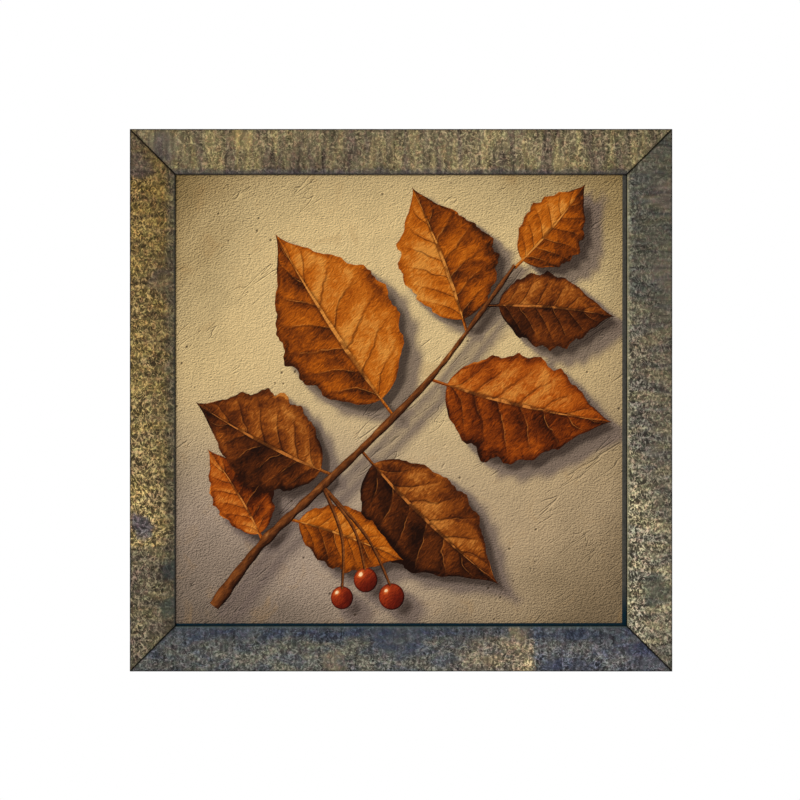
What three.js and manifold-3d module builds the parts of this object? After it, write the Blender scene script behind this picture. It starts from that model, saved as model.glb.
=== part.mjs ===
// A square canvas picture in a mitred wooden frame, made to hang on a wall.
// Millimetres, +Z up, the picture faces -Y. The origin is the notch of the sawtooth hanger where the wall's nail
// carries the picture, and the wall is the plane y = 0.
// The frame is four rebated rails joined by V-nails. The canvas is stretched over four keyed bars, stapled to their
// backs, and held in the rebate by four screwed clips.
import * as THREE from "three";
import { mergeVertices } from "three/addons/utils/BufferGeometryUtils.js";
import Module from "manifold-3d";

const wasm = await Module();
wasm.setup();

// Driving dimensions
const frameSide = 457.2; // 18 in
const railWidth = 38.1; // 1.5 in, so the sight opening is 381 mm, or 15 in
const railDepth = 25.4; // 1 in
const lipThickness = 4.5; // the lip that covers the canvas's edge, front to back
const rebateWidth = 6.5;
const outerRounding = 1.6;
const sightRounding = 1.0;

const canvasSide = 390;
const canvasThickness = 0.8; // cloth, size and paint
const canvasTurnover = 22; // cloth turned onto the back of the bars

const barWidth = 38;
const barThickness = 17.5;
const barBead = 6; // width of the raised outer edge that alone touches the cloth
const barRelief = 2.5; // how far the rest of the bar's face lies behind the bead

const standoff = 3; // hanger and bumpers keep the frame this far off the wall
const hangingPointBelowTop = 17;
const fitGap = 0.3; // between pieces that lie in or against each other
const mitreGap = 0.21; // along the rail, at each end

// Planes and radii that follow from them
const backPlane = -standoff;
const frontPlane = backPlane - railDepth;
const lipBackPlane = frontPlane + lipThickness;
const canvasFront = lipBackPlane + fitGap;
const barFront = canvasFront + canvasThickness + fitGap;
const barBack = barFront + barThickness;
const canvasBack = barBack + fitGap + canvasThickness;
const frameHalf = frameSide / 2;
const rebateWall = frameHalf - railWidth + rebateWidth;
const canvasHalf = canvasSide / 2;
const barOuter = canvasHalf - canvasThickness - fitGap;
const barInner = barOuter - barWidth;
const centreHeight = hangingPointBelowTop - frameHalf;

// Finishes
const finish = (color, roughness, metalness = 0) =>
  new THREE.MeshStandardMaterial({ color, roughness, metalness });
const railFinish = {
  top: finish(0x776b53, 0.75),
  right: finish(0x696254, 0.75),
  bottom: finish(0x595755, 0.75),
  left: finish(0x736244, 0.75),
};
const paintedCanvas = finish(0xbda374, 0.8);
const pine = finish(0xcfae7c, 0.7);
const beech = finish(0xb98f5e, 0.6);
const zincSteel = finish(0xb4b6b8, 0.35, 1);
const darkSteel = finish(0x6d6e70, 0.4, 1);
const brass = finish(0xb08d4a, 0.35, 1);
const rubber = finish(0x2b2a29, 0.9);

// A closed three.js geometry as a solid, and back.
function solidOf(geometry) {
  const plain = geometry.clone();
  plain.deleteAttribute("normal");
  plain.deleteAttribute("uv");
  const merged = mergeVertices(plain, 1e-4);
  const mesh = new wasm.Mesh({
    numProp: 3,
    vertProperties: merged.attributes.position.array,
    triVerts: new Uint32Array(merged.index.array),
  });
  return new wasm.Manifold(mesh);
}

function geometryOf(solid) {
  const mesh = solid.getMesh();
  const positions = new Float32Array(mesh.numVert * 3);
  for (let i = 0; i < mesh.numVert; i++) {
    const start = i * mesh.numProp;
    positions.set(mesh.vertProperties.subarray(start, start + 3), i * 3);
  }
  const geometry = new THREE.BufferGeometry();
  geometry.setAttribute("position", new THREE.BufferAttribute(positions, 3));
  geometry.setIndex(new THREE.BufferAttribute(mesh.triVerts, 1));
  const faceted = geometry.toNonIndexed();
  faceted.computeVertexNormals();
  return faceted;
}

const without = (body, cutters) =>
  geometryOf(cutters.reduce((left, cutter) => left.subtract(solidOf(cutter)), solidOf(body)));

// The mirror image of a shape across the plane x = 0.
const flipped = (geometry) => geometryOf(solidOf(geometry).mirror([1, 0, 0]));

// A flat outline in X and Z, given depth in Y.
function plate(outline, yLow, yHigh, curveSegments = 8) {
  const options = { depth: yHigh - yLow, bevelEnabled: false, curveSegments };
  return new THREE.ExtrudeGeometry(outline, options).rotateX(Math.PI / 2).translate(0, yHigh, 0);
}

// A block between two corners.
function block(xLow, xHigh, yLow, yHigh, zLow, zHigh) {
  return new THREE.BoxGeometry(xHigh - xLow, yHigh - yLow, zHigh - zLow).translate(
    (xLow + xHigh) / 2,
    (yLow + yHigh) / 2,
    (zLow + zHigh) / 2,
  );
}

// A round bar along Y.
function rod(radius, x, z, yLow, yHigh, sides = 20) {
  return new THREE.CylinderGeometry(radius, radius, yHigh - yLow, sides).translate(x, (yLow + yHigh) / 2, z);
}

const outlineOf = (points) => new THREE.Shape(points.map(([x, z]) => new THREE.Vector2(x, z)));

// A length of moulding for the top side, mitred at both ends. The section's first coordinate is the distance from
// the picture's centre and its second is y. At radius r the 45 degree mitre ends the piece at x = r.
function mitredLength(section) {
  const straight = new THREE.ExtrudeGeometry(section, { depth: 2, bevelEnabled: false, curveSegments: 4 });
  const piece = straight.translate(0, 0, -1).rotateY(-Math.PI / 2);
  const position = piece.attributes.position;
  for (let i = 0; i < position.count; i++) {
    position.setX(i, Math.sign(position.getX(i)) * (position.getZ(i) - mitreGap));
  }
  return piece;
}

// Frame rails
function railSection() {
  const sight = frameHalf - railWidth;
  const section = new THREE.Shape();
  section.moveTo(frameHalf, backPlane);
  section.lineTo(rebateWall, backPlane);
  section.lineTo(rebateWall, lipBackPlane);
  section.lineTo(sight, lipBackPlane);
  section.lineTo(sight, frontPlane + sightRounding);
  section.absarc(sight + sightRounding, frontPlane + sightRounding, sightRounding, Math.PI, 1.5 * Math.PI);
  section.absarc(frameHalf - outerRounding, frontPlane + outerRounding, outerRounding, 1.5 * Math.PI, 2 * Math.PI);
  section.closePath();
  return section;
}

// V-nails: the point of the V lies on the mitre, towards the frame's outer corner.
const vNailLeg = 6;
const vNailThickness = 0.6;
const vNailHeight = 10;
const vNailSpread = THREE.MathUtils.degToRad(55);
const vNailPlaces = { outer: 11, inner: 23 }; // distance of the point from both outer edges

function vNail(fromEdge, slack = 0) {
  const yHigh = backPlane - fitGap + (slack ? 1 : 0);
  const yLow = backPlane - fitGap - vNailHeight - slack;
  const half = vNailThickness / 2 + slack;
  const leg = plate(
    outlineOf([
      [-half, -half],
      [half, -half],
      [half, vNailLeg + slack],
      [-half, vNailLeg + slack],
    ]),
    yLow,
    yHigh,
  );
  const diagonal = THREE.MathUtils.degToRad(-135);
  const [first, second] = [-1, 1].map((side) =>
    solidOf(
      leg
        .clone()
        .rotateY(diagonal + side * vNailSpread)
        .translate(frameHalf - fromEdge, 0, frameHalf - fromEdge),
    ),
  );
  return geometryOf(first.add(second));
}

// Retaining clips: a strap with a low step, screwed to the rail and bearing on the turned canvas.
const clipThickness = 1;
const clipWidth = 12.7;
const clipReach = 18; // over the canvas
const clipFoot = 22; // on the rail
const clipPlaces = [-110, 110]; // along the side rails
const clipScrewRadius = 211;
const screw = { shank: 1.5, length: 13, head: 3.2, headHeight: 1.5, slot: 0.9, slotLength: 4, slotDepth: 0.8 };

function clip(along) {
  const step = 3;
  const inner = rebateWall - 2 - clipReach;
  const outer = rebateWall + clipFoot;
  const low = canvasBack;
  const high = backPlane;
  const strap = new THREE.Shape();
  strap.moveTo(inner, low);
  strap.lineTo(rebateWall - step, low);
  strap.lineTo(rebateWall, high);
  strap.lineTo(outer, high);
  strap.lineTo(outer, high + clipThickness);
  strap.lineTo(rebateWall, high + clipThickness);
  strap.lineTo(rebateWall - step, low + clipThickness);
  strap.lineTo(inner, low + clipThickness);
  strap.closePath();
  const bent = new THREE.ExtrudeGeometry(strap, { depth: clipWidth, bevelEnabled: false })
    .translate(0, 0, -clipWidth / 2)
    .rotateY(-Math.PI / 2)
    .translate(along, 0, 0);
  const rounded = new THREE.Shape();
  const half = clipWidth / 2;
  rounded.absarc(along, outer - half, half, 0, Math.PI);
  rounded.absarc(along, inner + half, half, Math.PI, 2 * Math.PI);
  rounded.closePath();
  const strapSolid = solidOf(bent).intersect(solidOf(plate(rounded, low - 1, high + 2)));
  const hole = rod(screw.shank + fitGap, along, clipScrewRadius, high - 1, high + 2);
  return geometryOf(strapSolid.subtract(solidOf(hole)));
}

function clipScrew(along) {
  const seat = backPlane + clipThickness;
  const head = rod(screw.head, along, clipScrewRadius, seat, seat + screw.headHeight, 24);
  const shank = rod(screw.shank, along, clipScrewRadius, seat - screw.length, seat + 0.5);
  const whole = geometryOf(solidOf(head).add(solidOf(shank)));
  const top = seat + screw.headHeight;
  const across = [screw.slot / 2, screw.slotLength / 2];
  const slots = [across, across.toReversed()].map(([x, z]) =>
    block(along - x, along + x, top - screw.slotDepth, top + 1, clipScrewRadius - z, clipScrewRadius + z),
  );
  return without(whole, slots);
}

const screwHole = (along) =>
  rod(screw.shank + fitGap, along, clipScrewRadius, backPlane + clipThickness - screw.length - fitGap, backPlane + 1);

// Sawtooth hanger: end tabs on the rail and a raised middle whose lower edge is notched for the wall's nail.
const hanger = { halfLength: 32, raisedHalf: 17, rampEnd: 23, thickness: 0.8, height: 8.5 };
const tooth = { pitch: 3, depth: 1.6, count: 10 };
const hangerPin = { x: 27.5, z: 3.6, shank: 0.8, length: 10, head: 1.8, headHeight: 0.8 };

function sawtoothHanger() {
  const { halfLength, raisedHalf, rampEnd, thickness, height } = hanger;
  const under = [
    [rampEnd, backPlane],
    [halfLength, backPlane],
    [halfLength, backPlane + thickness],
    [rampEnd, backPlane + thickness],
    [raisedHalf, 0],
  ];
  const strip = new THREE.Shape();
  strip.moveTo(-raisedHalf, -thickness);
  strip.lineTo(raisedHalf, -thickness);
  under.forEach(([x, y]) => strip.lineTo(x, y));
  under.toReversed().forEach(([x, y]) => strip.lineTo(-x, y));
  strip.closePath();
  const bent = new THREE.ExtrudeGeometry(strip, { depth: 2 * height, bevelEnabled: false }).translate(0, 0, -height);

  const corner = 3;
  const outline = new THREE.Shape();
  outline.moveTo(-halfLength + corner, -tooth.depth);
  for (let i = 0; i <= tooth.count; i++) {
    const notch = (i - tooth.count / 2) * tooth.pitch;
    outline.lineTo(notch - tooth.pitch / 2, -tooth.depth);
    outline.lineTo(notch, 0);
  }
  outline.lineTo(((tooth.count + 1) / 2) * tooth.pitch, -tooth.depth);
  outline.absarc(halfLength - corner, corner - tooth.depth, corner, -Math.PI / 2, 0);
  outline.absarc(halfLength - corner, height - corner, corner, 0, Math.PI / 2);
  outline.absarc(-halfLength + corner, height - corner, corner, Math.PI / 2, Math.PI);
  outline.absarc(-halfLength + corner, corner - tooth.depth, corner, Math.PI, 1.5 * Math.PI);
  outline.closePath();
  const flat = plate(outline, backPlane - 1, 1, 4);
  const holes = [-1, 1].map((side) =>
    rod(hangerPin.shank + fitGap, side * hangerPin.x, hangerPin.z, backPlane - 1, 1, 16),
  );
  return without(geometryOf(solidOf(bent).intersect(solidOf(flat))), holes);
}

function hangerPinShape(side) {
  const seat = backPlane + hanger.thickness;
  const { x, z, shank, length, head, headHeight } = hangerPin;
  const cap = rod(head, side * x, z, seat, seat + headHeight, 20);
  const stem = rod(shank, side * x, z, seat - length, seat + headHeight / 2, 12);
  return geometryOf(solidOf(cap).add(solidOf(stem)));
}

// The same holes in the top rail, whose own centre is the picture's centre.
const hangerPinHole = (side) =>
  rod(
    hangerPin.shank + fitGap,
    side * hangerPin.x,
    hangerPin.z - centreHeight,
    backPlane + hanger.thickness - hangerPin.length - fitGap,
    backPlane + 1,
    16,
  );

// Wall bumpers: low rubber buttons at the lower corners.
const bumper = { radius: 6, topRadius: 5.2, x: 188, aboveBottom: 15 };

function wallBumper(side) {
  const profile = [
    [0, backPlane],
    [bumper.radius, backPlane],
    [bumper.radius, -0.8],
    [bumper.topRadius, 0],
    [0, 0],
  ].map(([r, y]) => new THREE.Vector2(r, y));
  return new THREE.LatheGeometry(profile, 24).translate(
    side * bumper.x,
    0,
    hangingPointBelowTop - frameSide + bumper.aboveBottom,
  );
}

// Stretcher bars
function barSection() {
  const rounding = 1.5;
  const section = new THREE.Shape();
  section.moveTo(barOuter, barBack);
  section.lineTo(barInner, barBack);
  section.lineTo(barInner, barFront + barRelief);
  section.lineTo(barOuter - barBead, barFront + barRelief);
  section.lineTo(barOuter - barBead + 3, barFront);
  section.lineTo(barOuter - rounding, barFront);
  section.lineTo(barOuter, barFront + rounding);
  section.closePath();
  return section;
}

// Corner keys: thin wedges driven into the inner corners of the stretcher, one along each bar.
// The bars' slots lie in two layers, so that the two keys of a corner pass each other.
const keyThickness = 3;
const keyLayers = { level: barBack - 6, upright: barBack - 11 }; // the side of each layer that faces the wall
const key = { buttEnd: -24, tip: 13, bite: 4, buttDrop: -10, tipHeight: 2 };

// One key of the top bar's right end, or the same key of the bar that meets it there.
function cornerKey(layer, alongThisBar, slack = 0) {
  const { buttEnd, tip, bite, buttDrop, tipHeight } = key;
  const wedge = [
    [buttEnd - slack, buttDrop - slack],
    [tip + slack, bite - tipHeight - slack],
    [tip + slack, bite + slack],
    [buttEnd - slack, bite + slack],
  ];
  const turned = alongThisBar ? wedge : wedge.map(([x, z]) => [z, x]).reverse();
  const points = turned.map(([x, z]) => [x + barInner, z + barInner]);
  return plate(outlineOf(points), layer - keyThickness - slack, layer + slack);
}


// Staples: a crown on the canvas and two legs in the bar.
const staple = { crown: 12, wire: 0.7, width: 1.2, leg: 7, radius: canvasHalf - 11 };
const staplePlaces = [-141, -47, 47, 141];

function stapleShape(along) {
  const { crown, wire, width, leg, radius } = staple;
  const z = [radius - width / 2, radius + width / 2];
  const top = block(along - crown / 2, along + crown / 2, canvasBack, canvasBack + wire, ...z);
  const legs = [-1, 1].map((side) => {
    const ends = [side * (crown / 2), side * (crown / 2 - wire)].sort((a, b) => a - b);
    return block(along + ends[0], along + ends[1], canvasBack - leg, canvasBack + wire / 2, ...z);
  });
  return geometryOf(legs.reduce((joined, one) => joined.add(solidOf(one)), solidOf(top)));
}

function stapleHoles(along) {
  const { crown, wire, width, leg, radius } = staple;
  return [-1, 1].map((side) => {
    const middle = along + side * (crown - wire) * 0.5;
    const halfX = wire / 2 + fitGap;
    const halfZ = width / 2 + fitGap;
    return block(
      middle - halfX,
      middle + halfX,
      canvasBack - leg - fitGap,
      canvasBack + 1,
      radius - halfZ,
      radius + halfZ,
    );
  });
}

// The canvas: a painted face, four turned sides and a flat border on the back of the bars.
function stretchedCanvas() {
  const half = canvasHalf;
  const inside = half - canvasThickness;
  const window = half - canvasTurnover;
  const body = block(-half, half, canvasFront, canvasBack, -half, half);
  const hollow = block(-inside, inside, canvasFront + canvasThickness, canvasBack - canvasThickness, -inside, inside);
  const opening = block(-window, window, barFront, canvasBack + 1, -window, window);
  const holes = sides.flatMap((side) =>
    staplePlaces.flatMap((along) => stapleHoles(along).map((hole) => hole.rotateY(side.turn))),
  );
  return without(body, [hollow, opening, ...holes]);
}

// Assembly
const sides = ["top", "right", "bottom", "left"].map((name, i) => ({
  name,
  turn: (i * Math.PI) / 2,
  level: i % 2 === 0,
}));

const picture = new THREE.Group();
const centred = new THREE.Group();
centred.position.z = centreHeight;
picture.add(centred);

function place(parent, name, geometry, material) {
  const mesh = new THREE.Mesh(geometry, material);
  mesh.name = name;
  parent.add(mesh);
}

for (const { name, turn, level } of sides) {
  const side = new THREE.Group();
  side.rotation.y = turn;
  centred.add(side);

  const vNailSlots = Object.values(vNailPlaces).map((fromEdge) => vNail(fromEdge, fitGap));
  const railCuts = [...vNailSlots, ...vNailSlots.map(flipped)];
  if (name === "top") {
    railCuts.push(hangerPinHole(-1), hangerPinHole(1));
  }
  if (!level) {
    railCuts.push(...clipPlaces.map(screwHole));
  }
  place(side, `frame_rail_${name}`, without(mitredLength(railSection()), railCuts), railFinish[name]);
  for (const [where, fromEdge] of Object.entries(vNailPlaces)) {
    place(side, `v_nail_${name}_${where}`, vNail(fromEdge), darkSteel);
  }

  const ownLayer = level ? keyLayers.level : keyLayers.upright;
  const otherLayer = level ? keyLayers.upright : keyLayers.level;
  const keySlots = [cornerKey(ownLayer, true, fitGap), cornerKey(otherLayer, false, fitGap)];
  const barCuts = [...keySlots, ...keySlots.map(flipped), ...staplePlaces.flatMap(stapleHoles)];
  place(side, `stretcher_bar_${name}`, without(mitredLength(barSection()), barCuts), pine);
  place(side, `corner_key_${name}_1`, cornerKey(ownLayer, true), beech);
  place(side, `corner_key_${name}_2`, flipped(cornerKey(ownLayer, true)), beech);
  staplePlaces.forEach((along, i) => place(side, `staple_${name}_${i + 1}`, stapleShape(along), zincSteel));

  if (!level) {
    clipPlaces.forEach((along, i) => {
      place(side, `retaining_clip_${name}_${i + 1}`, clip(along), zincSteel);
      place(side, `clip_screw_${name}_${i + 1}`, clipScrew(along), brass);
    });
  }
}
place(centred, "canvas", stretchedCanvas(), paintedCanvas);

place(picture, "sawtooth_hanger", sawtoothHanger(), brass);
for (const [name, side] of [
  ["left", -1],
  ["right", 1],
]) {
  place(picture, `hanger_pin_${name}`, hangerPinShape(side), brass);
  place(picture, `wall_bumper_${name}`, wallBumper(side), rubber);
}

export default picture;
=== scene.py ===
import math
import random
import bmesh
import bpy
import numpy as np
from mathutils import Matrix, Vector, noise


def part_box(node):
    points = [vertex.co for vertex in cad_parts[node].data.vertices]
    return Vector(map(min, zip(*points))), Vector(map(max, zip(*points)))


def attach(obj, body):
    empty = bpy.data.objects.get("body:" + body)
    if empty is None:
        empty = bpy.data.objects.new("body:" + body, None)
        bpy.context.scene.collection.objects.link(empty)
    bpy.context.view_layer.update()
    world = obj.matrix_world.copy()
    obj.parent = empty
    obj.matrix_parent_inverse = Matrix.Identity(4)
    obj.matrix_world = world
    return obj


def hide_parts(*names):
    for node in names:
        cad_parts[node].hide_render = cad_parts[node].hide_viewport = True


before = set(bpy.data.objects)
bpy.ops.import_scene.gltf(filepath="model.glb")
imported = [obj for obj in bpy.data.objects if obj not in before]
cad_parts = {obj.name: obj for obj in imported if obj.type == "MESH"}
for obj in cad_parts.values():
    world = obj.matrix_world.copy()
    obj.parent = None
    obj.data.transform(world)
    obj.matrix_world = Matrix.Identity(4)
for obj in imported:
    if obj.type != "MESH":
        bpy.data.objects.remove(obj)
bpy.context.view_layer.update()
scene = bpy.context.scene
mm = 0.001
print("frame loaded")

# where the parts of the picture lie, read from the frame
railLow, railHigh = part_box("frame_rail_top")
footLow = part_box("frame_rail_bottom")[0]
clothLow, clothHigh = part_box("canvas")
centreZ = (railHigh.z + footLow.z) / 2
frameHalf = (railHigh.z - footLow.z) / 2
sightHalf = frameHalf - (railHigh.z - railLow.z)
frontY = railLow.y
backY = railHigh.y
clothHalf = clothHigh.x
paintY = clothLow.y  # face of the painted ground, before its relief
lipBackY = paintY - 0.3 * mm  # the lip stops this far before the canvas
middle = Matrix.Translation((0, 0, centreZ))
sideNames = ["top", "right", "bottom", "left"]


# small helpers for node trees
def put(tree, kind, inputs=None, **settings):
    made = tree.nodes.new(kind)
    for key, value in settings.items():
        setattr(made, key, value)
    for key, value in (inputs or {}).items():
        if isinstance(value, bpy.types.NodeSocket):
            tree.links.new(value, made.inputs[key])
        else:
            made.inputs[key].default_value = value
    return made


def join(kind, inputs, **settings):
    # the node goes into the tree that its inputs come from
    sockets = [value for value in inputs.values() if isinstance(value, bpy.types.NodeSocket)]
    return put(sockets[0].id_data, kind, inputs, **settings)


def tint(red, green, blue):
    linear = []
    for part in (red / 255, green / 255, blue / 255):
        linear.append(part / 12.92 if part <= 0.04045 else ((part + 0.055) / 1.055) ** 2.4)
    return (*linear, 1)


def grain(vector, scale, detail=3.0, distortion=0.0, roughness=0.5):
    inputs = {"Vector": vector, "Scale": scale, "Detail": detail, "Distortion": distortion,
              "Roughness": roughness}
    return join("ShaderNodeTexNoise", inputs).outputs[0]


def moved(vector, step):
    return join("ShaderNodeMapping", {"Vector": vector, "Location": step}).outputs[0]


def stretch(vector, scale):
    return join("ShaderNodeMapping", {"Vector": vector, "Scale": scale}).outputs[0]


def turned(vector, degrees):
    turn = (0, math.radians(degrees), 0)
    return join("ShaderNodeMapping", {"Vector": vector, "Rotation": turn}).outputs[0]


def fade(value, low, high, bottom=0.0, top=1.0):
    inputs = {"Value": value, "From Min": low, "From Max": high, "To Min": bottom, "To Max": top}
    return join("ShaderNodeMapRange", inputs, interpolation_type="SMOOTHSTEP").outputs[0]


def calc(operation, first, second=0.0):
    return join("ShaderNodeMath", {0: first, 1: second}, operation=operation).outputs[0]


def times(first, second):
    return calc("MULTIPLY", first, second)


def minus(first, second):
    return calc("SUBTRACT", first, second)


def blend(factor, under, over):
    inputs = {0: factor, 6: under, 7: over}
    return join("ShaderNodeMix", inputs, data_type="RGBA").outputs[2]


def glaze(value, low, high, most, under, over):
    # the over colour comes in as the value goes from low to high, up to the share most
    return blend(fade(value, low, high, 0, most), under, over)


def ramp(value, stops):
    made = join("ShaderNodeValToRGB", {"Fac": value})
    elements = made.color_ramp.elements
    while len(elements) < len(stops):
        elements.new(0.5)
    for element, (place, colour) in zip(elements, stops):
        element.position = place
        element.color = colour
    return made.outputs[0]


def share(value, low, high):
    return join("ShaderNodeMapRange", {"Value": value, "From Min": low, "From Max": high}).outputs[0]


def axesOf(vector):
    return join("ShaderNodeSeparateXYZ", {0: vector}).outputs[:]


def grey(level):
    return (level, level, level, 1)


def away(value):
    return calc("ABSOLUTE", minus(value, 0.5))


def sway(value, amount):
    return times(minus(value, 0.5), amount)


def total(first, *others):
    for other in others:
        first = calc("ADD", first, other)
    return first


def scaled(colour, factor):
    plain = colour[:3] if isinstance(colour, tuple) else colour
    return join("ShaderNodeVectorMath", {0: plain, "Scale": factor}, operation="SCALE").outputs[0]


def tinted(colour, cast):
    return join("ShaderNodeVectorMath", {0: colour, 1: cast}, operation="MULTIPLY").outputs[0]


def distanceTo(vector, centre):
    return join("ShaderNodeVectorMath", {0: vector, 1: centre}, operation="DISTANCE").outputs["Value"]


def objectCoords(material):
    return put(material.node_tree, "ShaderNodeTexCoord").outputs["Object"]


def meshCoords(material):
    return put(material.node_tree, "ShaderNodeUVMap", uv_map="UVMap").outputs[0]


def painted(material, name):
    return put(material.node_tree, "ShaderNodeAttribute", attribute_name=name).outputs["Fac"]


def newMaterial(name):
    material = bpy.data.materials.new(name)
    material.use_nodes = True
    material.node_tree.nodes.clear()
    return material


def surface(material, colour, roughness, height=None, depth=0.1, **fixed):
    tree = material.node_tree
    inputs = {"Base Color": colour, "Roughness": roughness}
    if height is not None:
        bump = put(tree, "ShaderNodeBump", {"Height": height, "Distance": depth * mm})
        inputs["Normal"] = bump.outputs[0]
    shader = put(tree, "ShaderNodeBsdfPrincipled", inputs)
    for key, value in fixed.items():
        shader.inputs[key.replace("_", " ")].default_value = value
    put(tree, "ShaderNodeOutputMaterial", {"Surface": shader.outputs[0]})
    return material


# small helpers for pieces
def linked(name, data):
    made = bpy.data.objects.new(name, data)
    scene.collection.objects.link(made)
    return made


def meshObject(name, bm, materials):
    mesh = bpy.data.meshes.new(name)
    bm.to_mesh(mesh)
    bm.free()
    for material in materials:
        mesh.materials.append(material)
    return linked(name, mesh)


def newPiece(name, bm, materials, nodes=(), sharpAngle=40):
    piece = meshObject(name, bm, materials)
    piece.data.shade_smooth()
    piece.data.set_sharp_from_angle(angle=math.radians(sharpAngle))
    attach(piece, "root")
    if nodes:
        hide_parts(*nodes)
    return piece


def mappedGrid(columns, rows, place, lay):
    bm = bmesh.new()
    uvLayer = bm.loops.layers.uv.new("UVMap")
    bmesh.ops.create_grid(bm, x_segments=columns, y_segments=rows, size=1)
    for face in bm.faces:
        for loop in face.loops:
            loop[uvLayer].uv = lay(loop.vert.co.x, loop.vert.co.y)
    for vert in bm.verts:
        vert.co = place(vert.co.x, vert.co.y)
    return bm


def paintedPiece(name, bm, paint, sharpAngle):
    # moves the piece from the picture's centre to its place
    bmesh.ops.transform(bm, matrix=middle, verts=bm.verts)
    newPiece(name, bm, [paint], sharpAngle=sharpAngle)


def openRim(bm):
    return [edge for edge in bm.edges if edge.is_boundary]


def closeBack(bm, y):
    # draws the open rim back to the plane y and closes it there
    made = bmesh.ops.extrude_edge_only(bm, edges=openRim(bm))["geom"]
    for vert in made:
        if isinstance(vert, bmesh.types.BMVert):
            vert.co.y = y
    bmesh.ops.holes_fill(bm, edges=openRim(bm), sides=0)
    bmesh.ops.recalc_face_normals(bm, faces=bm.faces)


# small helpers for shapes
def smoothStep(value, low, high):
    t = np.clip((value - low) / (high - low), 0, 1)
    return t * t * (3 - 2 * t)


def smoothOne(value, low, high):
    # the same for a single number
    t = min(1.0, max(0.0, (value - low) / (high - low)))
    return t * t * (3 - 2 * t)


def lump(x, y, z):
    # smooth noise from about -1 to 1
    return noise.noise(Vector((x, y, z)))


def halfLump(x, y, z):
    # the same from about 0 to 1
    return 0.5 + 0.5 * lump(x, y, z)


def bell(value, width):
    return math.exp(-((value / width) ** 2))


# a grid's places run from -1 to 1, and these take them to 0 to 1, both ways or lengthwise alone
def bothWays(u, v):
    return (u + 1) / 2, (v + 1) / 2


def lengthwise(u, v):
    return (u + 1) / 2, v


def flatPlaces(bm):
    # x and z of the vertices, in mm
    return [np.array([vert.co[axis] for vert in bm.verts]) / mm for axis in (0, 2)]


# camera and light
camera = {"lens": 50, "sensor": 36, "viewWidth": 673.2 * mm, "right": -0.9 * mm, "up": 0.2 * mm}


def makeCamera(look):
    data = bpy.data.cameras.new("camera")
    data.lens = look["lens"]
    data.sensor_width = look["sensor"]
    made = linked("camera", data)
    distance = look["viewWidth"] / look["sensor"] * look["lens"]
    made.location = (look["right"], frontY - distance, centreZ + look["up"])
    made.rotation_euler = (math.pi / 2, 0, 0)
    scene.camera = made


studio = {
    "ambient": 0.235,
    "lights": {
        "key": {"place": (-0.66, -2.8, 0.42), "size": 0.9, "power": 51, "colour": (1.0, 0.985, 0.96)},
        "fill": {"place": (1.3, -2.2, -0.5), "size": 1.4, "power": 8, "colour": (0.96, 0.98, 1.0)},
        "back": {"place": (0.9, 1.5, 0.8), "size": 1.2, "power": 19, "colour": (1.0, 1.0, 1.0)},
    },
    "floor": {"size": (5.0, 4.5), "centre": (0, -0.75, -1.35)},
}


def makeStudio(look):
    world = bpy.data.worlds.new("studio")
    world.use_nodes = True
    scene.world = world
    tree = world.node_tree
    tree.nodes.clear()
    seen = put(tree, "ShaderNodeBackground", {"Color": grey(1), "Strength": 1.0})
    light = put(tree, "ShaderNodeBackground", {"Color": grey(1), "Strength": look["ambient"]})
    ray = put(tree, "ShaderNodeLightPath")
    inputs = {0: ray.outputs["Is Camera Ray"], 1: light.outputs[0], 2: seen.outputs[0]}
    both = put(tree, "ShaderNodeMixShader", inputs)
    put(tree, "ShaderNodeOutputWorld", {"Surface": both.outputs[0]})
    for name, lamp in look["lights"].items():
        data = bpy.data.lights.new(name, "AREA")
        data.energy = lamp["power"]
        data.size = lamp["size"]
        data.color = lamp["colour"]
        made = linked(name, data)
        made.visible_camera = False
        made.location = lamp["place"]
        aim = Vector((0, 0, centreZ)) - made.location
        made.rotation_euler = aim.to_track_quat("-Z", "Y").to_euler()
    floor = look["floor"]
    bm = bmesh.new()
    bmesh.ops.create_grid(bm, x_segments=1, y_segments=1, size=0.5)
    bmesh.ops.scale(bm, vec=(*floor["size"], 1), verts=bm.verts)
    bmesh.ops.translate(bm, vec=floor["centre"], verts=bm.verts)
    made = meshObject("floor", bm, [surface(newMaterial("paleFloor"), grey(0.86), 0.7)])
    scene.view_settings.view_transform = "Standard"


makeCamera(camera)
makeStudio(studio)
print("camera and studio done")

# frame rails: rubbed-through paint in worm-like strokes, with saw marks and worn arrises, painted light and
# shade along the sight edge and painted shade along the outer edge, sizes in mm
railForm = {
    "columns": 236,
    "endSteps": [0.0, 0.3, 0.65, 1.15],  # from the mitre
    "endDrop": [1.3, 0.75, 0.2, 0.0],  # how far the face falls away there
    "mitreGap": 0.002,
    "rebate": 6.5,
    "outerRound": 1.6,
    "sightRound": 1.0,
    "frontSteps": 27,
    "endInset": 1.6,  # from the mitre to the first of the even columns
    "dent": 0.22,
    "dentSize": (14, 9),  # along and across the rail
    "sawMark": 0.07,
    "sawMarkSize": (1.9, 26),
    "arrisWear": 0.55,
    "chipLength": 7,
    "chipReach": 1.3,
    "ragLength": 5,
    "darkJointRimShadeMost": 0.95,
    "seamWidth": 1.0,
    "rimWidth": 1.2,
    "edgeLightShadeWidth": 0.85,
}

# rails: how far each grain lightens or darkens the paint, and the largest rub that the ramp can hold
rubForm = {"base": 0.963, "bands": 0.3, "combed": 1.6, "darkest": 0.25, "between": -0.4, "lines": 2.05,
           "speck": 0.85, "flecks": -0.15, "most": 2.4}
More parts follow.
